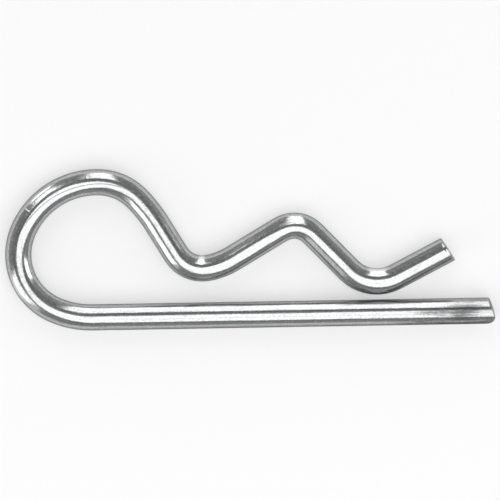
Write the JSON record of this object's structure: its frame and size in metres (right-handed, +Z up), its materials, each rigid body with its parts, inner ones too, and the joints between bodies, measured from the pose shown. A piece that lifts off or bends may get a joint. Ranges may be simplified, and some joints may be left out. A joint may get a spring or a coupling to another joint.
{
  "type": "r clip",
  "caption": "R-shaped spring clip of round wire: a straight leg for a cross hole, a round eye, and a wavy leg whose hump grips the shaft.",
  "frame": {"origin": "on the surface the clip lies on, under the middle of the box round it", "axes": "+X along the straight leg to its tip, +Y across the clip to the wavy leg's side, +Z up off the surface, square to the flat clip"},
  "size_m": [0.0746, 0.0246, 0.004],
  "materials": {
    "plated_wire": "bright zinc plate over drawn spring wire"
  },
  "bodies": {
    "root": {"r_clip": "plated_wire"}
  },
  "joints": []
}
